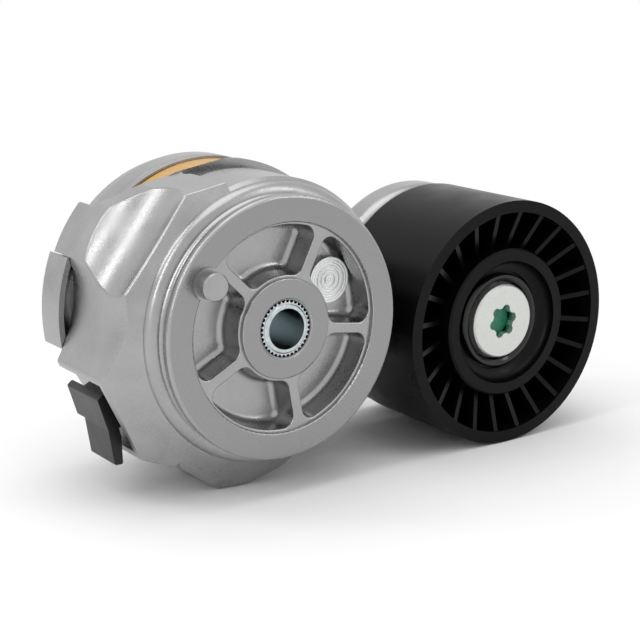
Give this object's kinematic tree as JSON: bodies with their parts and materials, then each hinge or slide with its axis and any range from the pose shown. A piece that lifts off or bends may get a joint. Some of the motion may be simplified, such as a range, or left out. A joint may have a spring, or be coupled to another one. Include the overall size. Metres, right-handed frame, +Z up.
{
  "type": "belt tensioner",
  "caption": "Spring-loaded belt tensioner: round cast housing with a centre mounting sleeve, and a swinging arm carrying a flat ribbed idler pulley.",
  "frame": {"origin": "centre of the mounting bore, on the mounting face", "axes": "-Y points out of the mounting face towards the engine, +Y runs back through the arm, +X points towards the pulley side, +Z is up; the arm leans 7.33 degrees below +X at rest"},
  "size_m": [0.1791, 0.0705, 0.0967],
  "materials": {
    "cast_aluminium": "tumbled die casting",
    "sleeve_steel": "zinc-plated turned steel",
    "zinc_steel": "zinc-plated pressed steel",
    "bolt_zinc": "silver zinc flake",
    "spring_steel": "oil-tempered, phosphated",
    "bearing_steel": "ground",
    "pulley_nylon": "satin moulded, glass filled",
    "black_nylon": "moulded",
    "gloss_black": "gloss moulded",
    "bearing_nylon": "natural moulded",
    "damper_nylon": "tan moulded",
    "cage_nylon": "moulded",
    "seal_rubber": "matt"
  },
  "bodies": {
    "base": {"base_housing": "cast_aluminium", "mounting_sleeve": "sleeve_steel", "side_plug": "black_nylon", "spring_seat": "black_nylon", "torsion_spring": "spring_steel", "thrust_washer": "bearing_nylon", "end_plate": "zinc_steel"},
    "arm": {"arm": "cast_aluminium", "pivot_bushing": "bearing_nylon", "damper_liner": "damper_nylon", "damper_band": "spring_steel", "bearing_inner_ring": "bearing_steel", "front_dust_cover": "gloss_black", "rear_dust_shield": "zinc_steel", "pulley_bolt": "bolt_zinc"},
    "pulley": {"pulley_body": "pulley_nylon", "bearing_outer_ring": "bearing_steel", "seal_front": "seal_rubber", "seal_rear": "seal_rubber"},
    "ball_cage": {"cage_front": "cage_nylon", "cage_rear": "cage_nylon", "balls_front": "bearing_steel", "balls_rear": "bearing_steel"}
  },
  "joints": [
    {"name": "arm_pivot", "type": "hinge", "parent": "base", "child": "arm", "pos_m": [0, 0, 0], "axis": [0, -1, 0], "range_deg": [0, 55], "stiffness_Nm_per_rad": 30, "springref_deg": -49.85, "deforming": ["torsion_spring"]},
    {"name": "pulley_spin", "type": "hinge", "parent": "arm", "child": "pulley", "pos_m": [0.08758, 0, -0.01127], "axis": [0, -1, 0], "continuous": true},
    {"name": "cage_spin", "type": "hinge", "parent": "arm", "child": "ball_cage", "pos_m": [0.08758, 0, -0.01127], "axis": [0, -1, 0], "continuous": true}
  ],
  "couplings": [
    {"joint": "cage_spin", "follows": "pulley_spin", "ratio": 0.62}
  ]
}
